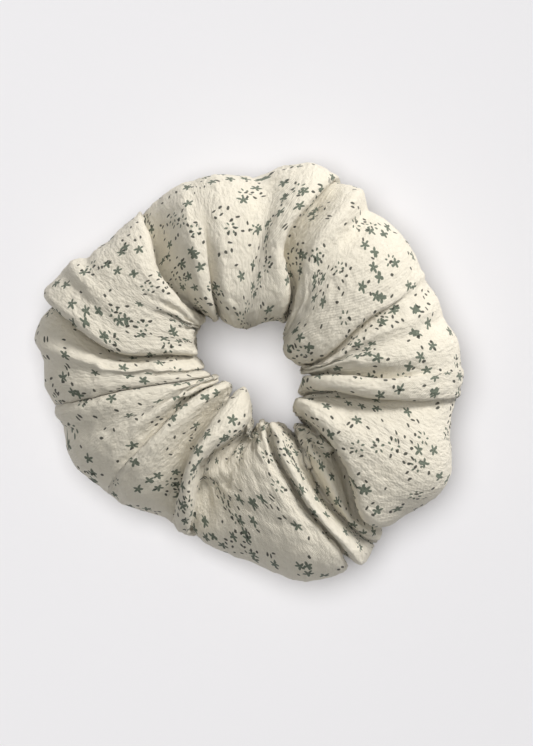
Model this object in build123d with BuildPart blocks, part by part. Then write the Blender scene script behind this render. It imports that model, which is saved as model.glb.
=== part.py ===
from build123d import *

import os
from math import cos, radians, sin

# A gathered hair scrunchie, lying flat: a printed cotton sleeve closed on itself round a free
# loop of flat elastic. Millimetres. +Z is up, the surface it lies on is Z = 0, and the Z axis
# runs through the middle of the hole that the hair goes through.
#
# The sleeve is one strip of cloth rolled into a tube, and the tube is bent into a ring. The
# strip's long edges meet underneath and its short ends meet at one side, each with its raw edge
# turned inwards. Nothing but thread holds the edges together, so a fine gap runs along each seam.

# --- Driving dimensions -------------------------------------------------------------------------
outer_radius = 59.0  # the sleeve's outside edge
hole_radius = 13.5  # the hole that the gathers leave open
height = 30.0  # the puffed tube, lying flat
wall = 1.2  # 0.5 mm cloth, gathered 2.4 times into the ring's length
seam_gap = 0.2  # between the two turned-in edges of a seam
allowance = 8.0  # depth of a turned-in edge

seam_radius = 36.0  # where the long seam runs underneath
end_seam_angle = 188.0  # where the strip's short ends meet, degrees from +X
opening_start = 255.0  # the stretch left open to turn the tube and thread the elastic
opening_end = 285.0

elastic_radius = 28.6  # a 180 mm loop, to the middle of the band
elastic_thick = 1.2
elastic_width = 6.0
elastic_floor = 12.0  # lower edge of the band
overlap_start = 40.0  # the band's ends lie on each other from here
overlap_sweep = 28.0  # 14 mm of overlap
ramp_sweep = 11.0  # where the outer end climbs onto the inner one
layer_gap = 0.1

thread_radius = 0.15
stitch_length = 2.5
long_stitch_depth = 0.8  # from the inside of the wall to the line of stitches
end_stitch_depth = 1.4  # deeper, so that the two seams cross without touching
hole_half = 0.18  # a thread goes down and comes back this far each side of its hole
thread_bend = 0.16
thread_clear = 0.02

# --- The tube's section -------------------------------------------------------------------------
rest_inner = 26.0  # the flat that the tube lies on runs from here
rest_outer = 46.0  # to here
waist = 13.0  # height of the outside edge
crown = 36.0  # radius of the highest point
grip_bottom = 10.5  # the upright stretch of the hole's wall
grip_top = 19.0

half_seam = wall + seam_gap / 2  # from a seam's middle to the outside of either layer


def quarter(centre, across, up, start):
    """A quarter of an ellipse, counterclockwise from its start angle."""
    EllipticalCenterArc(centre, across, up, start_angle=start, arc_size=90)


def tube_section(inset):
    """The tube's closed outline, radius against height, taken in by inset."""
    inner, outer = hole_radius + inset, outer_radius - inset
    floor, top = inset, height - inset
    Line((rest_inner, floor), (rest_outer, floor))
    quarter((rest_outer, waist), outer - rest_outer, waist - floor, 270)
    quarter((crown, waist), outer - crown, top - waist, 0)
    quarter((crown, grip_top), crown - inner, top - grip_top, 90)
    Line((inner, grip_top), (inner, grip_bottom))
    quarter((rest_inner, grip_bottom), rest_inner - inner, grip_bottom - floor, 180)


def on_ring(radius, angle, z):
    """The point at that radius and angle about +Z."""
    return Vector(radius * cos(radians(angle)), radius * sin(radians(angle)), z)


def lockstitch(faces, middles):
    """One thread of a lockstitch as a centreline. It lies on the cloth's face between holes, and
    at each hole it goes down to the middle of the layers, turns round the other thread and comes
    back up."""
    points = []
    for i, (face, middle) in enumerate(zip(faces, middles)):
        ahead = faces[min(i + 1, len(faces) - 1)] - faces[max(i - 1, 0)]
        step = ahead.normalized() * hole_half
        points += [face - step, middle - step, middle + step, face + step]
    return points


def thread(*routes, bend=thread_bend):
    """A thread as a part, swept along each route of points in turn."""
    with BuildPart() as strand:
        for points in routes:
            with BuildLine() as route:
                FilletPolyline(*points, radius=bend)
            with BuildSketch(Plane(origin=route.line @ 0, z_dir=route.line % 0)):
                Circle(thread_radius)
            sweep()
    return strand.part


# --- Sleeve -------------------------------------------------------------------------------------
end_plane = Plane(
    origin=(0, 0, 0),
    x_dir=on_ring(1, end_seam_angle, 0),
    z_dir=on_ring(1, end_seam_angle - 90, 0),
)
long_seam_top = wall + allowance
slit_overrun = 0.5

with BuildPart() as fabric_sleeve:
    with BuildSketch(Plane.XZ):
        with BuildLine():
            tube_section(0)
        make_face()
        with BuildLine():
            tube_section(wall)
        make_face(mode=Mode.SUBTRACT)
        with Locations((seam_radius, (wall / 2 + long_seam_top) / 2)):
            Rectangle(2 * half_seam, long_seam_top - wall / 2)
    revolve(axis=Axis.Z)
    with BuildSketch(end_plane):
        with BuildLine():
            tube_section(wall / 2)
        make_face()
        with BuildLine():
            tube_section(wall + allowance)
        make_face(mode=Mode.SUBTRACT)
    extrude(amount=half_seam, both=True)
    # The two seams' gaps: what is left is one strip, held shut by the threads alone.
    with BuildSketch(Plane.XZ):
        with Locations((seam_radius, long_seam_top / 2)):
            Rectangle(seam_gap, long_seam_top + 2 * slit_overrun)
    revolve(axis=Axis.Z, mode=Mode.SUBTRACT)
    with BuildSketch(end_plane):
        with Locations((outer_radius / 2 + slit_overrun, height / 2)):
            Rectangle(outer_radius, height + 2 * slit_overrun)
    extrude(amount=seam_gap / 2, both=True, mode=Mode.SUBTRACT)

# --- Elastic ------------------------------------------------------------------------------------
inner_face = elastic_radius - elastic_thick / 2
outer_face = elastic_radius + elastic_thick / 2
climb = elastic_thick + layer_gap
ramp_start = overlap_start + 360 - ramp_sweep
ramp_end = overlap_start + 360
overlap_end = ramp_end + overlap_sweep


def band_face(radius):
    """One face of the band: once round at radius, up the ramp, and on over the first end."""
    CenterArc((0, 0), radius, overlap_start, ramp_start - overlap_start)
    Spline(
        on_ring(radius, ramp_start, 0),
        on_ring(radius + climb, ramp_end, 0),
        tangents=(on_ring(1, ramp_start + 90, 0), on_ring(1, ramp_end + 90, 0)),
    )
    CenterArc((0, 0), radius + climb, ramp_end, overlap_sweep)


with BuildPart() as elastic_band:
    with BuildSketch(Plane.XY.offset(elastic_floor)):
        with BuildLine():
            band_face(inner_face)
            band_face(outer_face)
            Line(on_ring(inner_face, overlap_start, 0), on_ring(outer_face, overlap_start, 0))
            Line(
                on_ring(inner_face + climb, overlap_end, 0),
                on_ring(outer_face + climb, overlap_end, 0),
            )
        make_face()
    extrude(amount=elastic_width)

# --- Zigzag rows that join the elastic ----------------------------------------------------------
row_inset = 8.0  # degrees from each end of the overlap
zigzag_rows = [overlap_start + row_inset, overlap_start + overlap_sweep - row_inset]
zigzag_half = 2.6  # degrees each side of a row's middle
zigzag_pitch = 0.55
zigzag_margin = 0.8  # from the band's edges
zigzag_count = int((elastic_width - 2 * zigzag_margin) / zigzag_pitch) + 1
between_layers = outer_face + layer_gap / 2
turn_depth = thread_radius + thread_clear


def zigzag(row_angle, radius):
    """Needle holes of one zigzag row across the band, on a cylinder of that radius."""
    return [
        on_ring(
            radius,
            row_angle + zigzag_half * (-1) ** i,
            elastic_floor + zigzag_margin + i * zigzag_pitch,
        )
        for i in range(zigzag_count)
    ]


def zigzag_thread(face_radius, middle_radius):
    """One thread of the join, over both rows."""
    return thread(
        *(lockstitch(zigzag(row, face_radius), zigzag(row, middle_radius)) for row in zigzag_rows)
    )


# --- Long seam: machine stitched from one end of the turning opening round to the other ---------
long_stitch_z = wall + long_stitch_depth
long_sweep = 360 - (opening_end - opening_start)
long_count = int(radians(long_sweep) * seam_radius / stitch_length)
face_offset = half_seam + turn_depth


def long_seam(radius):
    """Needle holes of the long seam, at that radius."""
    return [
        on_ring(radius, opening_end + long_sweep * i / long_count, long_stitch_z)
        for i in range(long_count + 1)
    ]


def long_seam_thread(side):
    """One thread of the long seam: side is 1 outside the seam and -1 inside it."""
    return thread(
        lockstitch(
            long_seam(seam_radius + side * face_offset),
            long_seam(seam_radius + side * turn_depth),
        )
    )


# --- End seam: machine stitched once round the tube where the strip's ends meet -----------------
with BuildLine(end_plane) as stitch_line:
    tube_section(wall + end_stitch_depth)
stitch_loop = stitch_line.wire()
end_margin = 0.03  # where the stitching stops short of lapping over its own start
end_count = int(stitch_loop.length * (1 - 2 * end_margin) / stitch_length)
across = on_ring(1, end_seam_angle + 90, 0)


def end_seam(side):
    """Needle holes of the end seam, moved sideways off the seam's middle."""
    return [
        stitch_loop @ (end_margin + (1 - 2 * end_margin) * i / end_count) + across * side
        for i in range(end_count + 1)
    ]


def end_seam_thread(side):
    """One thread of the end seam: side is 1 on one face of the seam and -1 on the other."""
    return thread(lockstitch(end_seam(side * face_offset), end_seam(side * turn_depth)))


# --- Ladder stitches that close the turning opening by hand -------------------------------------
ladder_z = wall / 2
ladder_half = 0.55  # the thread runs inside each folded edge, this far from the gap
ladder_bend = 0.32
ladder_count = int(radians(opening_end - opening_start) * seam_radius / stitch_length)
ladder_points = []
for i in range(ladder_count + 1):
    rung_angle = opening_start + (opening_end - opening_start) * i / ladder_count
    near = ladder_half if i % 2 else -ladder_half
    ladder_points += [
        on_ring(seam_radius + near, rung_angle, ladder_z),
        on_ring(seam_radius - near, rung_angle, ladder_z),
    ]

# --- Files --------------------------------------------------------------------------------------
pieces = {
    "fabric_sleeve": fabric_sleeve.part,
    "elastic_band": elastic_band.part,
    "elastic_join_needle_thread": zigzag_thread(
        outer_face + climb + turn_depth, between_layers + turn_depth
    ),
    "elastic_join_bobbin_thread": zigzag_thread(
        inner_face - turn_depth, between_layers - turn_depth
    ),
    "long_seam_needle_thread": long_seam_thread(1),
    "long_seam_bobbin_thread": long_seam_thread(-1),
    "end_seam_needle_thread": end_seam_thread(1),
    "end_seam_bobbin_thread": end_seam_thread(-1),
    "closing_stitches": thread(ladder_points, bend=ladder_bend),
}
os.makedirs("parts", exist_ok=True)
for name, piece in pieces.items():
    piece.label = name
    export_step(piece, f"parts/{name}.step")
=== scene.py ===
from math import pi

import bpy
import numpy as np
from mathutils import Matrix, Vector, noise


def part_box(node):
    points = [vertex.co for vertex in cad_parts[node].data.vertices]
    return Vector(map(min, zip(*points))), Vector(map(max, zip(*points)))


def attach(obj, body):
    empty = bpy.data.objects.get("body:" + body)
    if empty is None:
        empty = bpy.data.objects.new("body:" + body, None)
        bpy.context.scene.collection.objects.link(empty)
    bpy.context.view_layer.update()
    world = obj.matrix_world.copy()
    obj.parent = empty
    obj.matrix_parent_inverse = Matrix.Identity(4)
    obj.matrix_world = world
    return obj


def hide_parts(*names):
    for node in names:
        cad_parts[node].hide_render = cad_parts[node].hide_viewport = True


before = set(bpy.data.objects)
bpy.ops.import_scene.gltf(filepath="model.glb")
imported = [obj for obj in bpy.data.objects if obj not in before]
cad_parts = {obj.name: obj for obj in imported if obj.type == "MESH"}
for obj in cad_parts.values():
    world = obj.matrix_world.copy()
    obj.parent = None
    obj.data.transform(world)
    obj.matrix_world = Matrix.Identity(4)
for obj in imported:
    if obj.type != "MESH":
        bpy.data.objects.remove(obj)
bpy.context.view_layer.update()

MM = 0.001

# A gathered hair scrunchie, lying flat. The sleeve is one strip of cloth, made as a grid of points:
# its rows run round the ring and its columns run across the tube. Lengths are in millimetres and
# angles in degrees from +X, unless a line says otherwise.

# --- The sleeve's section: the smooth tube that the gathers are laid on -------------------------
low, high = (np.array(corner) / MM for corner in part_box("fabric_sleeve"))
OUTER = (high[0] - low[0]) / 2  # the ring's nominal outside edge
HOLE = 13.5  # radius of the hole
HEIGHT = high[2] - low[2]
WAIST = 13.0  # height of the outside edge
CROWN = 36.0  # radius of the highest point, and of the seam underneath
REST_IN, REST_OUT = 26.0, 46.0  # the flat that the tube lies on
GRIP_LOW, GRIP_HIGH = 10.5, 19.0  # the upright stretch of the hole's wall
ELASTIC = (29.25, 15.0)  # radius and height of the middle of the space that the elastic turns in
ELASTIC_ROOM = (3.0, 4.4)  # half that space's size, with the cloth's thickness

# --- The gathers --------------------------------------------------------------------------------
# How far the lobes reach, every 15 degrees round from +X: the outside edge and the hole's edge.
OUTLINE = [59.5, 56.5, 55.5, 56.5, 59.5, 59.5, 56, 55.5, 55, 53, 59, 62,
           57.5, 55.5, 54.5, 51.5, 49, 53, 54.5, 60, 62.5, 59, 62.5, 58]
HOLE_EDGE = [14, 12, 11, 14, 16.5, 14, 12, 12.5, 16, 19, 18, 14.5,
             13, 9, 7, 6, 6, 6, 8, 11, 17, 16, 14.5, 15]

# The gathers' folds, in order round the ring. Each is a line across the tube, given by its angle
# and depth at five places from the hole's wall over the crown to the outside edge.
# over: how far the lobe on the counterclockwise side hangs over the fold, or, below zero, the one
# on the other side. slope: how wide the lower lobe's side is. A soft fold has no over.
FOLDS = [
    # angles                       depths                 over  slope
    ((-6, -2, -3, -1, 1),          (3.5, 5, 4, 1, .5),    -2.0, 4),
    ((-1, 3, 11, 13, 16),          (0, 0, 1.2, 1, .5),    0, 3),
    ((3, 7, 21, 25, 28),           (3.5, 6.5, 5, 1.2, .5), 2.0, 5),
    ((44, 48, 54, 54, 54),         (0, 0, 1, 3.5, 2.5),   0, 8),
    ((53, 60, 74, 69, 65),         (4, 8, 11, 9, 2),      2.0, 15),
    ((92, 88, 85, 84, 89),         (0, 0, 2.5, 3.5, 2),   0, 12),
    ((122, 118, 110, 107, 105),    (3, 5, 3, .6, 0),      1.5, 4),
    ((129, 133, 133, 127, 124),    (4, 7, 11, 10, 1.5),   3.0, 12),
    ((142, 146, 150, 149, 145),    (0, 0, 0, .8, 2.0),    0, 8),
    ((150, 156, 161, 155, 152),    (0, 0, .3, 1.4, .4),   0, 9),
    ((160, 168, 173, 165, 160),    (3, 5, 8, 10, 5),      -3.0, 11),
    ((179, 180, 181, 179, 177),    (.8, .6, .6, .7, .6),  0, 3),
    ((189, 189, 189, 190, 190),    (1, 1, 1, 1, .8),      0, 2),
    ((193, 196, 200, 200, 197),    (0, 0, .4, 1.2, 1.2),  0, 4),
    ((199, 203, 212, 217, 221),    (3.5, 6, 5, .8, 0),    2.5, 6),
    ((238, 232, 234, 240, 244),    (6, 9, 11, 9, 2),      2.0, 14),
    ((274, 270, 244, 248, 250),    (7, 9, 13, 13, 4),     -4.0, 25),
    ((292, 286, 290, 296, 297),    (4, 7, 8, 7, 5),       -1.0, 4),
    ((305, 301, 299, 302, 305),    (3, 8, 11, 7, 1),      0, 7),
    ((315, 319, 315, 307, 313),    (4, 9, 11, 10, 6),     3.0, 9),
    ((334, 344, 347, 350, 353),    (3.5, 7, 7, 3.5, .6),  3.0, 9),
]
SEAM_FOLD = 12  # the fold where the strip's short ends are sewn together
# How far some lobes lie below the rest, by the fold on their clockwise side.
SUNK = {15: (-.5, -2, -2.5, -1, 1.5), 16: (3, 4, 2, 0, 0), 18: (3, 5, 6, 5, 1)}
# Where the five places are in w, which runs across the strip: -0.5 at the long seam underneath,
# 0 at the hole's wall, 1 at the outside edge and 1.5 at the seam again.
STATIONS = np.array([0, .25, .5, .75, 1.0])
UNDER_FLAT = 0.7  # share of a fold's depth that is lost where the tube rests
LIP = 3.0  # width of a hanging lobe's own side
BULGE = 0.7  # how far a lobe stands up between its folds
FOLD_POINTS = 8  # control points in a fold
CROWN_POINTS = 3  # control points on a lobe's top
PER_FOLD = FOLD_POINTS + CROWN_POINTS
COLUMNS, ROWS = 300, 77
FINE_COLUMNS, FINE_ROWS = 421, 107  # after the cloth has settled

# --- The cloth ----------------------------------------------------------------------------------
CLOTH = 0.5  # thickness
ALLOWANCE = 8.0  # depth of a turned-in edge
TURNED = 4  # rows or columns in it
TRIMMED = 3  # columns cut away at the ends of a long edge's allowance
GAP = 0.1  # half the gap between two turned-in edges
GATHER = 0.28  # height of the fine gathers
CREPE = 0.16  # height of the crepe's unevenness
RIPPLE = 1.0  # height of the gathers underneath
SEAM_BLEND = (1, .9, .68, .42, .2, .06)  # how much rows beside the seam follow it

# --- The settling, which is done ten times full size: the solver suits bigger cloths -------------
SIM_SCALE = 10.0
FRAMES = 14
SHRINK = -0.02  # below zero, the cloth grows
GOAL = 0.5  # how firmly the laid folds are kept
PRESSURE = 0.6
BEND = 0.3

# --- Sewing, as on the CAD nodes ----------------------------------------------------------------
THREAD = 0.15  # radius
STITCH = 2.5
HOLE_HALF = 0.18  # a thread goes down and comes back this far each side of its hole
CLEAR = 0.02
LIE = CLOTH + GAP + THREAD + CLEAR  # from a seam's middle to a thread on its face
TURN = THREAD + CLEAR  # from a seam's middle to a thread that turns there
LONG_RISE = 2.0  # the long seam's stitches, above the underside
END_INSET = 2.6  # the end seam's stitches, inside the outline
END_MARGIN = 0.03  # share of the outline left free at each end of that stitching
OPENING = (255.0, 285.0)  # the part of the long seam that is closed by hand


def quarter(centre, across, up, start):
    """Points along a quarter of an ellipse, counterclockwise from its start angle."""
    t = np.radians(start + np.linspace(0, 90, 200))
    return np.stack([centre[0] + across * np.cos(t), centre[1] + up * np.sin(t)], 1)


def section():
    """The tube's outline as radius and height, from the seam underneath in over the hole's wall,
    the crown and the outside edge back to the seam."""
    points = np.concatenate([
        [[CROWN, 0]],
        quarter((REST_IN, GRIP_LOW), REST_IN - HOLE, GRIP_LOW, 180)[::-1],
        quarter((CROWN, GRIP_HIGH), CROWN - HOLE, HEIGHT - GRIP_HIGH, 90)[::-1],
        quarter((CROWN, WAIST), OUTER - CROWN, HEIGHT - WAIST, 0)[::-1],
        quarter((REST_OUT, WAIST), OUTER - REST_OUT, WAIST, 270)[::-1],
        [[CROWN, 0]],
    ])
    keep = np.r_[True, np.linalg.norm(np.diff(points, axis=0), axis=1) > 1e-6]
    return points[keep]


def path_length(points):
    """Distance along a line of points, from its start."""
    return np.r_[0, np.cumsum(np.linalg.norm(np.diff(points, axis=0), axis=1))]


def section_rows(count):
    """Evenly spaced rows along the section: place on the strip, radius, height, outward normal
    and w."""
    points = section()
    run = path_length(points)
    at = np.linspace(0, run[-1], count)

    def on_section(place):
        return np.stack([np.interp(place, run, points[:, i]) for i in (0, 1)], 1)

    wall_middle = (GRIP_LOW + GRIP_HIGH) / 2
    off_wall = 100 * (points[:, 0] > HOLE + 1)
    hole_run = run[np.argmin(np.abs(points[:, 1] - wall_middle) + off_wall)]
    edge_run = run[np.argmax(points[:, 0])]
    w = np.interp(at, [0, hole_run, edge_run, run[-1]], [-.5, 0, 1, 1.5])
    step = 0.4
    along = on_section(at + step) - on_section(at - step)
    along /= np.linalg.norm(along, axis=1)[:, None]
    along[0] = along[-1] = (-1, 0)
    normal = np.stack([-along[:, 1], along[:, 0]], 1)
    r, z = on_section(at).T
    return at, r, z, normal, w


def smooth_interp(x, xs, ys):
    """A smooth curve through the points, held flat past the ends."""
    xs, ys = np.asarray(xs, float), np.asarray(ys, float)
    m = np.gradient(ys, xs)
    x = np.clip(x, xs[0], xs[-1])
    i = np.clip(np.searchsorted(xs, x, side="right") - 1, 0, len(xs) - 2)
    h = xs[i + 1] - xs[i]
    t = (x - xs[i]) / h
    return ((2*t**3 - 3*t**2 + 1) * ys[i] + (t**3 - 2*t**2 + t) * h * m[i]
            + (-2*t**3 + 3*t**2) * ys[i + 1] + (t**3 - t**2) * h * m[i + 1])


def round_ring(table, angle):
    """A value given at even steps round the ring, at any angle."""
    n = len(table)
    wrapped = np.concatenate([table[-2:], table, table[:3]])
    return smooth_interp(np.mod(angle, 360), (np.arange(n + 5) - 2) * 360 / n, wrapped)


def across_tube(values, w):
    """A fold's value at w: smooth over the top, and underneath a blend of its two ends."""
    over_top = smooth_interp(w, STATIONS, values)
    mean = (values[0] + values[-1]) / 2
    under = np.where(w > 1, (w - 1) * 2, np.where(w < 0, -w * 2, 0))
    end = np.where(w > 1, values[-1], values[0])
    return np.where((w < 0) | (w > 1), end + (mean - end) * under, over_top)


def under_share(w):
    """How much of a fold's depth is left at w: all of it on top, less where the tube rests."""
    away = np.clip(np.where(w > 1, (w - 1) * 2, -w * 2), 0, 1)
    return 1 - UNDER_FLAT * (3 * away**2 - 2 * away**3)


def local_radius(angle, r_row):
    """The section's radius at an angle, scaled between the lobes' reach at the hole and outside."""
    a, b = round_ring(HOLE_EDGE, angle), round_ring(OUTLINE, angle)
    return a + (r_row - HOLE) / (OUTER - HOLE) * (b - a)


def fold_sides(deg, gap_next, w):
    """Each fold's width in degrees on its clockwise and counterclockwise side, for each row. Two
    neighbours share the gap between them. deg is the degrees in a millimetre."""
    below = np.array([(LIP if over < 0 else slope) * d for d, (_, _, over, slope) in zip(deg, FOLDS)])
    above = np.array([(LIP if over > 0 else slope) * d for d, (_, _, over, slope) in zip(deg, FOLDS)])
    room = gap_next * (0.55 + 0.35 * np.clip(w / .5, 0, 1))
    share = np.minimum(1, room / (above + np.roll(below, -1, 0)))
    return below * np.roll(share, 1, 0), above * share


def fold_shape(over, depth, sides, gap, deg, w):
    """A fold's control points in order round the ring: degrees from its line, and height. Each is
    one value for every row. sides are its clockwise and counterclockwise widths, and gap is the
    distance to the next fold past the lobe that hangs over."""
    side = -1 if over < 0 else 1
    slope, lip = sides[::side]
    if over:
        deep = np.clip(depth / 4, 0, 1)
        hang = np.minimum(abs(over) * deep * deg, 0.3 * gap) * np.clip(.3 + w / .5, 0, 1)
        shape = [(-slope, 0), (-.55 * slope, -.36), (-.15 * slope, -.85), (.9 * hang, -1.1),
                 (.9 * hang, -.72), (-.05 * lip, -.5), (.15 * lip, -.08), (lip, 0)]
    else:
        shape = [(-slope, 0), (-.6 * slope, -.25), (-.3 * slope, -.75), (-.1 * slope, -1.05),
                 (.1 * lip, -1.05), (.3 * lip, -.75), (.6 * lip, -.25), (lip, 0)]
    return [(side * turn, height * depth) for turn, height in shape[::side]]


def control_rows(w, r_row):
    """Control points round the ring for each row: angle, and height off the section."""
    count = len(FOLDS)
    under = under_share(w)
    angle = np.array([across_tube(np.array(f[0], float), w) for f in FOLDS])
    depth = np.array([across_tube(np.array(f[1], float), w) for f in FOLDS]) * under
    depth = np.maximum(depth, 0)
    level = (0,) * len(STATIONS)
    sunk = np.array([across_tube(np.array(SUNK.get(i, level), float), w) for i in range(count)])
    sunk *= under
    gap_next = np.roll(angle, -1, 0) - angle
    gap_next[-1] += 360
    gap_prev = np.roll(gap_next, 1, 0)
    deg = np.degrees(1 / np.array([local_radius(a, r_row) for a in angle]))
    below, above = fold_sides(deg, gap_next, w)
    folds = []
    for i, (_, _, over, _) in enumerate(FOLDS):
        gap = gap_prev[i] if over < 0 else gap_next[i]
        shape = fold_shape(over, depth[i], (below[i], above[i]), gap, deg[i], w)
        folds.append([(angle[i] + turn, height - sunk[i if k >= FOLD_POINTS // 2 else i - 1])
                      for k, (turn, height) in enumerate(shape)])
    points = []
    for i, fold in enumerate(folds):
        points += fold
        start, end = fold[-1][0], folds[(i + 1) % count][0][0] + (360 if i == count - 1 else 0)
        swell = BULGE * np.minimum((end - start) / deg[i] / 8, 1.5)
        for t in np.arange(1, CROWN_POINTS + 1) / (CROWN_POINTS + 1):
            points.append((start + (end - start) * t, swell * 4 * t * (1 - t) - sunk[i]))
    angles, heights = (np.array([point[i] for point in points]).T for i in (0, 1))
    return angles, heights


def bspline(values, wrap, at):
    """A closed cubic B-spline of each row's control values. wrap is what one round adds."""
    count = values.shape[1]
    i = np.floor(at).astype(int)
    f = at - i
    weights = [(1 - f)**3 / 6, (3*f**3 - 6*f**2 + 4) / 6, (-3*f**3 + 3*f**2 + 3*f + 1) / 6, f**3 / 6]
    out = 0
    for k, weight in enumerate(weights):
        j = i + k - 1
        out = out + weight * (values[:, j % count] + wrap * (j // count))
    return out


def place(angle, height, r_row, z_row, normal):
    """Points at those angles and heights off the section, for each row."""
    r = local_radius(angle, r_row[:, None]) + height * normal[:, :1]
    z = z_row[:, None] + height * normal[:, 1:]
    t = np.radians(angle)
    return np.stack([r * np.cos(t), r * np.sin(t), z], 2)


def fold_marks():
    """Control indices of the folds' bottoms and the lobes' middles in turn, from the end seam
    round to itself."""
    bottoms = (SEAM_FOLD + np.arange(len(FOLDS) + 1)) * PER_FOLD + (FOLD_POINTS - 1) / 2
    middles = bottoms[:-1] + (FOLD_POINTS - 1) / 2 + (CROWN_POINTS + 1) / 2
    marks = np.empty(len(bottoms) + len(middles))
    marks[::2], marks[1::2] = bottoms, middles
    return marks


def evenly(points, run, t):
    """Each row's points at the shares t of its length."""
    return np.array([np.stack([np.interp(t * far[-1], far, row[:, i]) for i in range(3)], 1)
                     for row, far in zip(points, run)])


def build_strip():
    """The sleeve's cloth as a grid of points, [row, column], each point's place along and across
    the flat strip, and each row's w."""
    at, r_row, z_row, normal, w = section_rows(ROWS)
    angles, heights = control_rows(w, r_row)
    marks = fold_marks()
    spans = []
    for start, end in zip(marks[:-1], marks[1:]):
        t = np.linspace(start, end, 41)
        points = place(bspline(angles, 360.0, t), bspline(heights, 0.0, t), r_row, z_row, normal)
        steps = np.linalg.norm(np.diff(points, axis=1), axis=2)
        spans.append((points, np.concatenate([np.zeros((ROWS, 1)), np.cumsum(steps, 1)], 1), steps.sum(1)))
    lengths = np.array([length for _, _, length in spans])  # span, row
    full = np.percentile(lengths[:, (w > 0.1) & (w < 1.0)], 75, axis=1)  # as cut
    counts = np.maximum(3, np.round(COLUMNS * full / full.sum()).astype(int))
    grid, flat_u = [], []
    start_u = 0.0
    for k, (points, run, length) in enumerate(spans):
        last = k == len(spans) - 1
        t = np.linspace(0, 1, counts[k] + 1)[:counts[k] + last]
        grid.append(evenly(points, run, t))
        # what a row is short of its cut length is taken up in the fold
        length, short = length[:, None], (full[k] - length)[:, None]
        if k % 2 == 0:  # from a fold's bottom up to a lobe's middle
            flat_u.append(start_u + (full[k] - ((1 - t) * length + short * (1 - t)**4)))
        else:
            flat_u.append(start_u + (t * length + short * t**4))
        start_u += full[k]
    grid, flat_u = np.concatenate(grid, 1), np.concatenate(flat_u, 1)
    return grid, flat_u, np.repeat(at[:, None], grid.shape[1], 1), w


def add_mesh(name, points, faces):
    """A mesh object from points in metres."""
    mesh = bpy.data.meshes.new(name)
    mesh.from_pydata(points, [], faces)
    obj = bpy.data.objects.new(name, mesh)
    bpy.context.collection.objects.link(obj)
    return obj


def elastic_ring():
    """A smooth ring round the elastic, for the cloth to settle against."""
    around, across = 96, 16
    t, p = np.meshgrid(np.arange(around) * 2 * pi / around, np.arange(across) * 2 * pi / across,
                       indexing="ij")
    r, z = 29.0 + 2.2 * np.cos(p), 15.0 + 3.6 * np.sin(p)
    points = np.stack([r * np.cos(t), r * np.sin(t), z], -1) * MM * SIM_SCALE
    idx = np.arange(around * across).reshape(around, across)
    ahead, beside = np.roll(idx, -1, 0), np.roll(idx, -1, 1)
    faces = np.stack([idx, ahead, np.roll(ahead, -1, 1), beside], -1)
    return add_mesh("settling_ring", points.reshape(-1, 3).tolist(), faces.reshape(-1, 4).tolist())


def square(half, z):
    """A level square's points and face."""
    return [(-half, -half, z), (half, -half, z), (half, half, z), (-half, half, z)], [(0, 1, 2, 3)]


def obstruct(obj):
    """Makes the cloth collide with an object."""
    obj.modifiers.new("collision", "COLLISION")
    obj.collision.thickness_outer = 0.002
    return obj


def add_cloth(obj, points):
    """The cloth modifier, with every point drawn back to where it was laid."""
    obj.vertex_groups.new(name="goal").add(list(range(points)), GOAL, "REPLACE")
    cloth = obj.modifiers.new("cloth", "CLOTH")
    settings = cloth.settings
    settings.quality = 6
    settings.mass = 0.15
    settings.tension_stiffness = settings.compression_stiffness = 20
    settings.shear_stiffness = 8
    settings.bending_stiffness = BEND
    settings.tension_damping = settings.compression_damping = settings.shear_damping = 8
    settings.bending_damping = 0.5
    settings.air_damping = 2
    settings.shrink_min = SHRINK
    settings.vertex_group_mass = "goal"
    settings.pin_stiffness = 1.0
    settings.use_pressure = True
    settings.uniform_pressure_force = PRESSURE
    settings.effector_weights.gravity = 0.3
    collision = cloth.collision_settings
    collision.distance_min = 0.003
    collision.use_self_collision = True
    collision.self_distance_min = 0.004
    collision.self_friction = 5
    collision.collision_quality = 3
    return cloth


def settle(grid):
    """The strip after a short cloth simulation, as a closed tube resting on a floor."""
    closed = grid[:-1, :-1]
    shape = closed.shape[:2]
    idx = np.arange(shape[0] * shape[1]).reshape(shape)
    down, right = np.roll(idx, -1, 0), np.roll(idx, -1, 1)
    faces = np.stack([idx, right, np.roll(down, -1, 1), down], -1).reshape(-1, 4)
    points = closed.reshape(-1, 3) * MM * SIM_SCALE
    tube = add_mesh("settling", points.tolist(), faces.tolist())
    cloth = add_cloth(tube, len(points))
    plate = obstruct(add_mesh("settling_floor", *square(2, -.004)))
    ring = obstruct(elastic_ring())
    scene = bpy.context.scene
    scene.frame_start, scene.frame_end = 1, FRAMES
    cloth.point_cache.frame_start, cloth.point_cache.frame_end = 1, FRAMES
    for frame_number in range(1, FRAMES + 1):
        scene.frame_set(frame_number)
    settled = tube.evaluated_get(bpy.context.evaluated_depsgraph_get()).to_mesh()
    at = np.empty(len(points) * 3)
    settled.vertices.foreach_get("co", at)
    at = at.reshape(*shape, 3) / MM / SIM_SCALE
    scene.frame_set(1)
    for obj in (tube, plate, ring):
        bpy.data.objects.remove(obj)
    out = grid.copy()
    out[:-1, :-1] = at
    out[-1, :-1] = at[0]
    out[:, -1] = out[:, 0]
    return out


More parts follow.
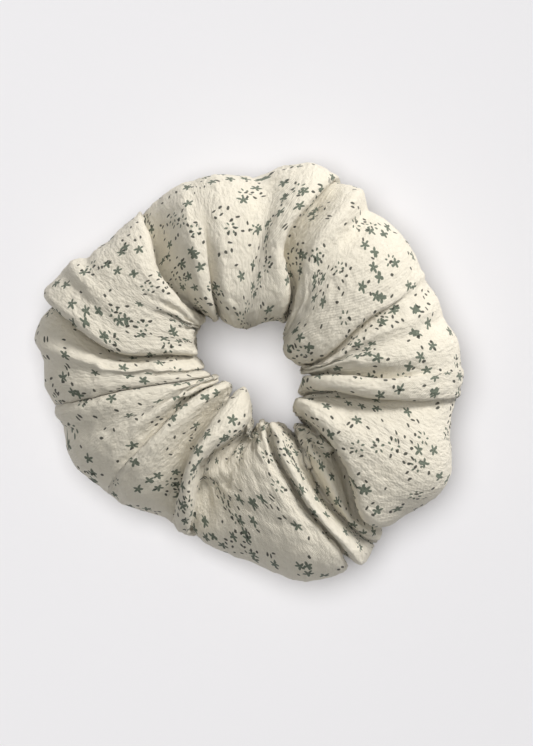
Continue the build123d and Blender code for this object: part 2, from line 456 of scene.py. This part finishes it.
def catmull(values, at, axis, closed):
    """Values along an axis at fractional places, on a smooth curve. A closed row's last value is
    its first again."""
    values = np.moveaxis(values, axis, 0)
    n = len(values)
    i = np.floor(at).astype(int)
    f = (at - i).reshape((-1,) + (1,) * (values.ndim - 1))
    if closed:
        pick = [values[(i + k) % (n - 1)] for k in (-1, 0, 1, 2)]
    else:
        before, after = 2 * values[0] - values[1], 2 * values[-1] - values[-2]
        longer = np.concatenate([[before], values, [after] * 2])
        pick = [longer[np.clip(i + k + 1, 0, n + 2)] for k in (-1, 0, 1, 2)]
    a, b, c, d = pick
    out = b + .5 * f * (c - a + f * (2*a - 5*b + 4*c - d + f * (3*(b - c) + d - a)))
    return np.moveaxis(out, 0, axis)


def refine(grid, u, v, w):
    """The same strip with more rows and columns."""
    rows_at = np.linspace(0, grid.shape[0] - 1, FINE_ROWS)
    columns_at = np.linspace(0, grid.shape[1] - 1, FINE_COLUMNS)
    for axis, at in ((0, rows_at), (1, columns_at)):
        grid = catmull(grid, at, axis, True)
        u, v = (catmull(flat, at, axis, False) for flat in (u, v))
    return grid, u, v, np.interp(rows_at, np.arange(len(w)), w)


def normals(grid):
    """Outward unit normals of a closed strip."""
    def slope(axis):
        trimmed = np.delete(grid, -1, axis)
        d = np.roll(trimmed, -1, axis) - np.roll(trimmed, 1, axis)
        return np.concatenate([d, np.take(d, [0], axis)], axis)

    n = np.cross(slope(0), slope(1))
    return n / np.maximum(np.linalg.norm(n, axis=2, keepdims=True), 1e-9)


def pucker(u, v, beneath):
    """How far the cloth stands off its smooth surface at a place on the flat strip: short gathers
    that run across the tube, the crepe's unevenness, and gathers where it is underneath."""
    gather = noise.noise((u / 3.1, v / 11.0, 3.0)) + .5 * noise.noise((u / 1.9, v / 6.0, 9.0))
    crepe = noise.noise((u / 2.3, v / 2.6, 21.0))
    patch = .5 + .5 * noise.noise((u / 22.0, v / 18.0, 40.0))
    ripple = 1 + np.sin(u * 2 * pi / 5.3 + 3 * noise.noise((u / 9.0, v / 35.0, 60.0)))
    return GATHER * gather * (.4 + 1.2 * patch) + CREPE * crepe - beneath * RIPPLE * ripple


def crinkle(grid, u, v, w):
    """The strip with its fine puckers, which fade out at the sewn edges."""
    beneath = np.clip((abs(w - .5) - .62) / .25, 0, 1)
    height = np.empty(u.shape)
    for row, column in np.ndindex(u.shape):
        height[row, column] = pucker(u[row, column], v[row, column], beneath[row])
    from_edge = [np.minimum(np.arange(n), np.arange(n)[::-1]) for n in u.shape]
    edge, ends = (np.clip(far / 4, 0, 1) for far in from_edge)
    return grid + normals(grid) * (height * edge[:, None] * ends[None])[..., None]


def clear_of_elastic(grid):
    """The strip moved out of the space that the elastic turns in."""
    r, z = np.hypot(grid[..., 0], grid[..., 1]), grid[..., 2]
    across, up = (r - ELASTIC[0]) / ELASTIC_ROOM[0], (z - ELASTIC[1]) / ELASTIC_ROOM[1]
    push = 1 / np.clip((across**4 + up**4) ** .25, .05, 1)
    new_r = ELASTIC[0] + across * push * ELASTIC_ROOM[0]
    return np.stack([grid[..., 0] * new_r / r, grid[..., 1] * new_r / r,
                     ELASTIC[1] + up * push * ELASTIC_ROOM[1]], -1)


def straighten_seam(grid):
    """The strip with the folds evened out along the seam underneath."""
    line = grid[0, :-1]
    angle = np.unwrap(np.arctan2(line[:, 1], line[:, 0]))

    def even(values, size):
        kernel = np.hanning(size + 2)[1:-1]
        wrapped = np.concatenate([values[-size:], values, values[:size]])
        return np.convolve(wrapped, kernel / kernel.sum(), "same")[size:-size]

    around = np.linspace(angle[0], angle[0] + 2 * pi, len(angle), endpoint=False)
    angle = around + even(angle - around, 25)
    radius, height = even(np.hypot(line[:, 0], line[:, 1]), 31), even(line[:, 2], 31)
    level = np.stack([radius * np.cos(angle), radius * np.sin(angle), height], 1)
    move = np.concatenate([level - line, (level - line)[:1]])
    out = grid.copy()
    for row, share in enumerate(SEAM_BLEND):
        out[row] += share * move
        out[-1 - row] += share * move
    return out


def rest_on_floor(grid):
    """The strip lifted gently where it would go through the floor."""
    out = grid.copy()
    z = out[..., 2]
    out[..., 2] = (z + np.sqrt(z**2 + 0.5)) / 2
    out[..., 2] -= out[..., 2].min()
    return out


def turn_in(grid, u, v):
    """The strip with its four edges turned inwards, where each faces the other over a small gap,
    and which faces to keep: the corners of the allowances are trimmed."""
    out = grid.copy()
    line = grid[0]
    away = line * (1, 1, 0) / np.hypot(line[:, 0], line[:, 1])[:, None]
    out[0] -= away * GAP
    out[-1] += away * GAP
    deep = np.arange(TURNED, 0, -1) / TURNED * ALLOWANCE
    up = np.array((0, 0, 1.0))
    first = out[0][None] + deep[:, None, None] * up
    last = out[-1][None] + deep[::-1, None, None] * up
    middle = np.array((*(line[0, :2] / np.hypot(*line[0, :2]) * CROWN), HEIGHT / 2))
    ccw = np.cross(up, away[0])

    def end(column, side):
        inward = middle - out[:, column]
        inward /= np.linalg.norm(inward, axis=1)[:, None]
        edge = out[:, column] + side * GAP * ccw
        return edge, edge[:, None] + deep[None, :, None] * inward[:, None]

    start_edge, start = end(0, 1)
    finish_edge, finish = end(-1, -1)
    out[:, 0], out[:, -1] = start_edge, finish_edge
    for long_edge in (first, last):
        long_edge[:, 0], long_edge[:, -1] = long_edge[:, 1], long_edge[:, -2]
    out = np.concatenate([first, out, last])
    rows_more = ((TURNED, TURNED), (0, 0))
    start, finish = (np.pad(part, rows_more + ((0, 0),), mode="edge")
                     for part in (start, finish[:, ::-1]))
    out = np.concatenate([start, out, finish], 1)
    v = np.concatenate([v[:1] - deep[:, None], v, v[-1:] + deep[::-1, None]])
    v = np.pad(v, rows_more[::-1], mode="edge")
    u = np.pad(u, rows_more, mode="edge")
    u = np.concatenate([u[:, :1] - deep, u, u[:, -1:] + deep[::-1]], 1)
    kept = np.ones((out.shape[0] - 1, out.shape[1] - 1), bool)
    corner = TURNED + TRIMMED
    for cut in (slice(0, TURNED), slice(-TURNED, None)):
        kept[cut, :corner] = kept[cut, -corner:] = False
    return out, u, v, kept


def cloth_mesh(name, grid, u, v, kept):
    """A mesh of the strip's kept faces, with a UV layer that is its place on the flat cloth."""
    idx = np.arange(grid.shape[0] * grid.shape[1]).reshape(grid.shape[:2])
    faces = np.stack([idx[:-1, :-1], idx[1:, :-1], idx[1:, 1:], idx[:-1, 1:]], -1)[kept]
    obj = add_mesh(name, (grid.reshape(-1, 3) * MM).tolist(), faces.reshape(-1, 4).tolist())
    mesh = obj.data
    layer = mesh.uv_layers.new(name="cloth")
    flat = np.stack([u.reshape(-1), v.reshape(-1)], 1) * MM
    corners = np.empty(len(mesh.loops), int)
    mesh.loops.foreach_get("vertex_index", corners)
    layer.data.foreach_set("uv", flat[corners].ravel())
    mesh.polygons.foreach_set("use_smooth", [True] * len(mesh.polygons))
    return obj


# --- Sleeve -------------------------------------------------------------------------------------
grid, cloth_u, cloth_v, w_rows = build_strip()
grid = settle(grid)
grid, cloth_u, cloth_v, w_rows = refine(grid, cloth_u, cloth_v, w_rows)
grid = clear_of_elastic(crinkle(grid, cloth_u, cloth_v, w_rows))
grid = rest_on_floor(straighten_seam(grid))
seam_line, end_line = grid[0].copy(), grid[:, 0].copy()
sleeve = cloth_mesh("sleeve_cloth", *turn_in(grid, cloth_u, cloth_v))
thickness = sleeve.modifiers.new("thickness", "SOLIDIFY")
thickness.thickness, thickness.offset = CLOTH * MM, -1
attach(sleeve, "sleeve")
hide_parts("fabric_sleeve")


class Graph:
    """Shorthand for building a material's nodes. Arguments are numbers, vectors or sockets."""

    def __init__(self, name):
        self.material = bpy.data.materials.new(name)
        self.material.use_nodes = True
        self.tree = self.material.node_tree
        self.surface = self.tree.nodes["Principled BSDF"]

    def set(self, socket, value):
        if isinstance(value, bpy.types.NodeSocket):
            self.tree.links.new(value, socket)
        else:
            socket.default_value = value

    def node(self, kind, inputs=(), **settings):
        node = self.tree.nodes.new("ShaderNode" + kind)
        for key, value in settings.items():
            setattr(node, key, value)
        for key, value in dict(inputs).items():
            self.set(node.inputs[key], value)
        return node

    def finish(self, **inputs):
        """Sets the surface's own sockets, with an underscore for each space in a name."""
        for key, value in inputs.items():
            self.set(self.surface.inputs[key.replace("_", " ")], value)
        return self.material

    def math(self, operation, *values):
        return self.node("Math", enumerate(values), operation=operation).outputs[0]

    def vector(self, operation, first, second=None):
        node = self.node("VectorMath", {0: first}, operation=operation)
        if second is not None:
            self.set(node.inputs["Scale" if operation == "SCALE" else 1], second)
        return node.outputs["Vector"]

    def split(self, vector):
        return self.node("SeparateXYZ", {0: vector}).outputs

    def join(self, x, y):
        return self.node("CombineXYZ", {0: x, 1: y}).outputs[0]

    def rotate(self, vector, angle):
        node = self.node("VectorRotate", {"Vector": vector, "Angle": angle}, rotation_type="Z_AXIS")
        return node.outputs[0]

    def noise(self, vector, scale, detail):
        node = self.node("TexNoise", {"Vector": vector, "Scale": scale, "Detail": detail})
        return node.outputs["Fac"]

    def ramp(self, value, start, end, low=0.0, high=1.0):
        """A smooth step from low to high as value goes from start to end."""
        limits = {"From Min": start, "From Max": end, "To Min": low, "To Max": high}
        node = self.node("MapRange", {"Value": value, **limits}, interpolation_type="SMOOTHSTEP")
        return node.outputs[0]

    def mix(self, share, first, second):
        """A colour between two. The node's inputs 0, 6 and 7 are its share and its two colours."""
        return self.node("Mix", {0: share, 6: first, 7: second}, data_type="RGBA").outputs[2]

    def waves(self, value, pitch):
        """A sine of that pitch."""
        return self.math("SINE", self.math("MULTIPLY", value, 2 * pi / pitch))

    def bump(self, height):
        """A bump from heights in millimetres."""
        return self.node("Bump", {"Height": height, "Distance": MM}).outputs[0]


# --- Print: motifs in millimetres about their own middle ----------------------------------------
def ellipse(g, x, y, across, up):
    """Distance outside an ellipse about the middle, below zero inside it."""
    r = g.math("SQRT", g.math("ADD", g.math("POWER", g.math("DIVIDE", x, across), 2.0),
                              g.math("POWER", g.math("DIVIDE", y, up), 2.0)))
    return g.math("MULTIPLY", g.math("SUBTRACT", r, 1.0), min(across, up))


def petals(g, x, y, count, reach, along, half):
    """Distance outside a ring of petals, each an ellipse at that reach from the middle."""
    sector = 2 * pi / count
    angle = g.math("ARCTAN2", y, x)
    turn = g.math("MULTIPLY", g.math("ROUND", g.math("DIVIDE", angle, sector)), sector)
    fold = g.math("SUBTRACT", angle, turn)
    r = g.math("SQRT", g.math("ADD", g.math("MULTIPLY", x, x), g.math("MULTIPLY", y, y)))
    px = g.math("SUBTRACT", g.math("MULTIPLY", r, g.math("COSINE", fold)), reach)
    py = g.math("MULTIPLY", r, g.math("SINE", fold))
    return ellipse(g, px, py, along, half)


def sprig(g, x, y):
    """Five leaves, one of them longer."""
    leaves = petals(g, x, g.math("MULTIPLY", y, 1.1), 5, .83, .80, .39)
    return g.math("MINIMUM", leaves, ellipse(g, g.math("SUBTRACT", x, 1.05), y, .84, .38))


def butterfly(g, x, y):
    """Four leaves in a cross, with a fifth beside them."""
    wings = petals(g, x, g.math("MULTIPLY", y, 1.15), 4, .82, .84, .44)
    leaf = ellipse(g, g.math("SUBTRACT", x, .88), g.math("ADD", y, .48), .72, .28)
    return g.math("MINIMUM", wings, leaf)


def rosette(g, x, y):
    """Six seeds in a ring."""
    return petals(g, x, y, 6, 1.45, .50, .30)


def seed_mark(g, x, y):
    """One seed."""
    return ellipse(g, x, y, .62, .36)


def pair(g, x, y):
    """Two seeds side by side."""
    return ellipse(g, x, g.math("SUBTRACT", g.math("ABSOLUTE", y), .55), .85, .33)


def sprays(g, spot):
    """1 where sprigs grow close together, 0 elsewhere."""
    return g.math("GREATER_THAN", g.noise(spot, .060, 1.0), .53)


def seeded(g, spot):
    """1 where seeds lie close together, 0 elsewhere."""
    return g.math("GREATER_THAN", g.noise(g.vector("ADD", spot, (90, 40, 0)), .085, 1.0), .57)


def between(g, spot):
    """1 outside both."""
    return g.math("SUBTRACT", 1.0, g.math("MAXIMUM", sprays(g, spot), seeded(g, spot)))


# Each motif with the side of the square cell that holds one, its own radius, the share of cells
# that are printed, a seed for its scatter, the turn of its cells in radians, and its region.
GREEN_MOTIFS = (
    (sprig, 5.2, 2.15, .60, 1.0, .35, sprays),
    (butterfly, 6.1, 2.15, .34, 2.0, 1.1, sprays),
    (sprig, 9.5, 2.15, .42, 3.0, 2.0, between),
    (butterfly, 11.0, 2.15, .36, 5.0, 1.6, between),
    (rosette, 5.4, 2.0, .5, 4.0, .7, seeded),
)
DARK_MOTIFS = (
    (seed_mark, 2.1, .62, .62, 6.0, .2, seeded),
    (seed_mark, 3.3, .62, .22, 7.0, 1.3, sprays),
    (seed_mark, 5.2, .62, .20, 8.0, 2.2, between),
    (pair, 9.7, 1.2, .26, 9.0, .9, between),
)
CREAM = ((.80, .75, .635, 1), (.85, .81, .705, 1))
GREEN_INK = ((.075, .102, .075, 1), (.15, .19, .145, 1))
DARK_INK = ((.028, .032, .026, 1), (.075, .08, .066, 1))
INK_STRENGTH = .93
THREAD_PITCH = .5  # of the weave


def scatter(g, cloth, motif, cell, radius, keep, seed, tilt, region):
    """How much ink a scattered motif leaves, 0 to 1. There is one motif in each square cell of
    the cloth, moved and turned at random, and only the share keep of them is printed, in cells
    whose middle is in the region."""
    shift = (seed * 3.7, seed * 1.9, 0)
    cells = g.vector("SCALE", g.vector("ADD", g.rotate(cloth, tilt), shift), 1 / cell)
    corner = g.vector("FLOOR", cells)
    chance = g.node("TexWhiteNoise", {"Vector": g.vector("ADD", corner, (seed, 0, seed * .37))},
                    noise_dimensions="3D")
    across, up, turn = g.node("SeparateColor", {0: chance.outputs["Color"]}).outputs[:3]
    centre = g.vector("ADD", corner, (.5, .5, 0))
    free = 1 - 2 * radius / cell
    jump = g.join(g.math("MULTIPLY", g.math("SUBTRACT", across, .5), free),
                  g.math("MULTIPLY", g.math("SUBTRACT", up, .5), free))
    local = g.vector("SCALE", g.vector("SUBTRACT", g.vector("SUBTRACT", cells, centre), jump), cell)
    x, y = g.split(g.rotate(local, g.math("MULTIPLY", turn, 2 * pi)))[:2]
    ink = g.ramp(motif(g, x, y), .05, -.05)
    home = g.rotate(g.vector("SUBTRACT", g.vector("SCALE", centre, cell), shift), -tilt)
    drawn = g.math("LESS_THAN", chance.outputs["Value"], g.math("MULTIPLY", region(g, home), keep))
    return g.math("MULTIPLY", ink, drawn)


def all_ink(g, cloth, motifs):
    """All the ink of several scattered motifs."""
    total = 0.0
    for motif in motifs:
        total = g.math("MAXIMUM", total, scatter(g, cloth, *motif))
    return total


# --- Materials ----------------------------------------------------------------------------------
def printed_cotton():
    """Cream crinkled cotton with a scattered print, all of it laid out on the flat cloth."""
    g = Graph("printed_cotton")
    cloth = g.vector("SCALE", g.node("UVMap", uv_map="cloth").outputs[0], 1 / MM)
    wobble = g.node("TexNoise", {"Vector": cloth, "Scale": .8, "Detail": 1.0}).outputs["Color"]
    shift = g.vector("MULTIPLY", g.vector("SUBTRACT", wobble, (.5, .5, .5)), (.5, .5, 0))
    hand_drawn = g.vector("ADD", cloth, shift)
    green = all_ink(g, hand_drawn, GREEN_MOTIFS)
    dark = all_ink(g, hand_drawn, DARK_MOTIFS)
    wash = g.noise(cloth, 1.7, 2.0)
    color = g.mix(g.noise(cloth, .35, 3.0), *CREAM)
    for ink, shades in ((green, GREEN_INK), (dark, DARK_INK)):
        color = g.mix(g.math("MULTIPLY", ink, INK_STRENGTH), color, g.mix(wash, *shades))
    u, v = g.split(cloth)[:2]
    weave = g.math("MULTIPLY", g.waves(u, THREAD_PITCH), g.waves(v, THREAD_PITCH))
    crepe = g.noise(g.vector("MULTIPLY", cloth, (1, .55, 1)), .9, 3.0)
    height = g.math("ADD", g.math("MULTIPLY", weave, .05), g.math("MULTIPLY", crepe, .75))
    return g.finish(Base_Color=color, Normal=g.bump(height), Roughness=g.ramp(crepe, 0, 1, .86, .96),
                    Sheen_Weight=.12, Sheen_Roughness=.5, Specular_IOR_Level=.25)


def woven_elastic():
    """Flat white elastic with fine ribs that run along it."""
    g = Graph("white_elastic")
    x, y, z = g.split(g.vector("SCALE", g.node("TexCoord").outputs["Object"], 1 / MM))[:3]
    ribs = g.waves(z, .8)
    picks = g.waves(g.math("MULTIPLY", g.math("ARCTAN2", y, x), ELASTIC[0]), .6)
    height = g.math("ADD", g.math("MULTIPLY", ribs, .08), g.math("MULTIPLY", picks, .04))
    color = g.mix(g.ramp(ribs, -1, 1), (.70, .69, .66, 1), (.84, .83, .80, 1))
    return g.finish(Base_Color=color, Normal=g.bump(height), Roughness=.8)


def twisted_thread():
    """Cream sewing thread, its plies shown as a fine slanted pattern."""
    g = Graph("sewing_thread")
    spot = g.vector("SCALE", g.node("TexCoord").outputs["Object"], 1 / MM)
    plies = g.node("TexWave", {"Vector": spot, "Scale": 1.6, "Distortion": .6},
                   bands_direction="DIAGONAL").outputs["Fac"]
    color = g.mix(plies, (.70, .66, .56, 1), (.84, .80, .70, 1))
    return g.finish(Base_Color=color, Normal=g.bump(g.math("MULTIPLY", plies, .05)), Roughness=.7)


def paper():
    """Plain pale paper for the floor."""
    return Graph("paper").finish(Base_Color=(0.86, 0.85, 0.855, 1), Roughness=0.95)


sleeve.data.materials.append(printed_cotton())
sewing_thread = twisted_thread()
for name, material in (("elastic_band", woven_elastic()), ("elastic_join_needle_thread", sewing_thread),
                       ("elastic_join_bobbin_thread", sewing_thread)):
    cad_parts[name].data.materials.clear()
    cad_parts[name].data.materials.append(material)


# --- Threads ------------------------------------------------------------------------------------
def lockstitch(face, middle):
    """One thread of a lockstitch: it lies on the cloth's face between holes, and at each hole it
    goes down to the middle of the layers and comes back."""
    points = []
    for i in range(len(face)):
        ahead = face[min(i + 1, len(face) - 1)] - face[max(i - 1, 0)]
        step = ahead / np.linalg.norm(ahead) * HOLE_HALF
        points += [face[i] - step, middle[i] - step, middle[i] + step, face[i] + step]
    return np.array(points)


def along_seam(angle, offset, rise):
    """The points at those angles along the long seam, that far out from its middle."""
    around = np.degrees(np.unwrap(np.arctan2(seam_line[:, 1], seam_line[:, 0])))
    turned = (angle - around[0]) % 360 + around[0]
    x, y, z = (np.interp(turned, around, seam_line[:, i]) for i in range(3))
    out = np.stack([x, y, 0 * x], -1) / np.hypot(x, y)[..., None]
    return np.stack([x, y, z + rise], -1) + out * offset


def along_end(share, offset):
    """The points at those shares of the way round the end seam's stitching, that far aside."""
    run = path_length(end_line)
    at = np.stack([np.interp(share * run[-1], run, end_line[:, i]) for i in range(3)], -1)
    out = end_line[0] * (1, 1, 0) / np.hypot(*end_line[0, :2])
    inward = out * CROWN + (0, 0, HEIGHT / 2) - at
    inward /= np.linalg.norm(inward, axis=1)[:, None]
    return at + inward * END_INSET + np.cross((0, 0, 1.0), out) * offset


def thread_piece(node, points):
    """A thread along those points, in place of a CAD node."""
    curve = bpy.data.curves.new(node + "_strand", "CURVE")
    curve.dimensions = "3D"
    curve.bevel_depth, curve.bevel_resolution, curve.use_fill_caps = THREAD * MM, 2, True
    spline = curve.splines.new("POLY")
    spline.points.add(len(points) - 1)
    spline.points.foreach_set("co", np.c_[points * MM, np.ones(len(points))].ravel())
    strand = bpy.data.objects.new(node + "_strand", curve)
    bpy.context.collection.objects.link(strand)
    curve.materials.append(sewing_thread)
    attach(strand, "sleeve")
    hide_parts(node)


sweep = 360 - (OPENING[1] - OPENING[0])
holes = OPENING[1] + np.linspace(0, sweep, int(np.radians(sweep) * CROWN / STITCH))
sewn = (1 - 2 * END_MARGIN) * path_length(end_line)[-1]
shares = np.linspace(END_MARGIN, 1 - END_MARGIN, int(sewn / STITCH))
for side, kind in ((1, "needle"), (-1, "bobbin")):
    thread_piece(f"long_seam_{kind}_thread", lockstitch(
        along_seam(holes, side * LIE, LONG_RISE), along_seam(holes, side * TURN, LONG_RISE)))
    thread_piece(f"end_seam_{kind}_thread", lockstitch(
        along_end(shares, side * LIE), along_end(shares, side * TURN)))
rungs = np.linspace(*OPENING, int(np.radians(OPENING[1] - OPENING[0]) * CROWN / STITCH) + 1)
ladder = [along_seam(rungs, side * (GAP + CLOTH / 2), CLOTH / 2) for side in (-1, 1)]
turns = [ladder[(i + half) % 2][i] for i in range(len(rungs)) for half in (0, 1)]
thread_piece("closing_stitches", np.array(turns))

# --- Stage, in metres ---------------------------------------------------------------------------
FLOOR_DROP = 0.0003  # keeps the floor clear of the cloth that rests on it
LENS, SENSOR = 100, 36
VIEW_HEIGHT = 0.2082  # what the camera sees from top to bottom, at the middle of the tube
VIEW_MIDDLE = (0.0046, -0.0007, 0.015)


def area(name, where, target, size, power, color, receiver):
    """A round soft light that reaches only one object."""
    light = bpy.data.lights.new(name, "AREA")
    light.shape, light.size, light.energy, light.color = "DISK", size, power, color
    obj = bpy.data.objects.new(name, light)
    obj.location = where
    obj.rotation_euler = (Vector(target) - Vector(where)).to_track_quat("-Z", "Y").to_euler()
    bpy.context.collection.objects.link(obj)
    obj.light_linking.receiver_collection = bpy.data.collections.new("lit_by_" + name)
    obj.light_linking.receiver_collection.objects.link(receiver)


floor = add_mesh("floor", *square(3, -FLOOR_DROP))
floor.data.materials.append(paper())
area("key", (0.52, 0.60, 0.50), (0, 0, 0.01), 0.35, 8.0, (1, 0.975, 0.94), sleeve)
area("fill", (-0.05, 0.12, 1.2), (0, 0, 0), 0.8, 3.8, (1, 0.98, 0.94), sleeve)
area("top", (-0.16, 0.14, 1.5), (0, 0, 0), 1.3, 21.8, (0.98, 0.98, 1), floor)

world = bpy.data.worlds.new("studio")
world.use_nodes = True
background = world.node_tree.nodes["Background"].inputs
background["Color"].default_value = (0.95, 0.94, 0.91, 1)
background["Strength"].default_value = 0.2
bpy.context.scene.world = world
bpy.context.scene.view_settings.view_transform = "Standard"

camera_data = bpy.data.cameras.new("camera")
camera_data.lens, camera_data.clip_start = LENS, 0.01
camera_data.sensor_fit, camera_data.sensor_height = "VERTICAL", SENSOR
camera = bpy.data.objects.new("camera", camera_data)
camera.location = Vector(VIEW_MIDDLE) + Vector((0, 0, VIEW_HEIGHT * LENS / SENSOR))
bpy.context.collection.objects.link(camera)
bpy.context.scene.camera = camera
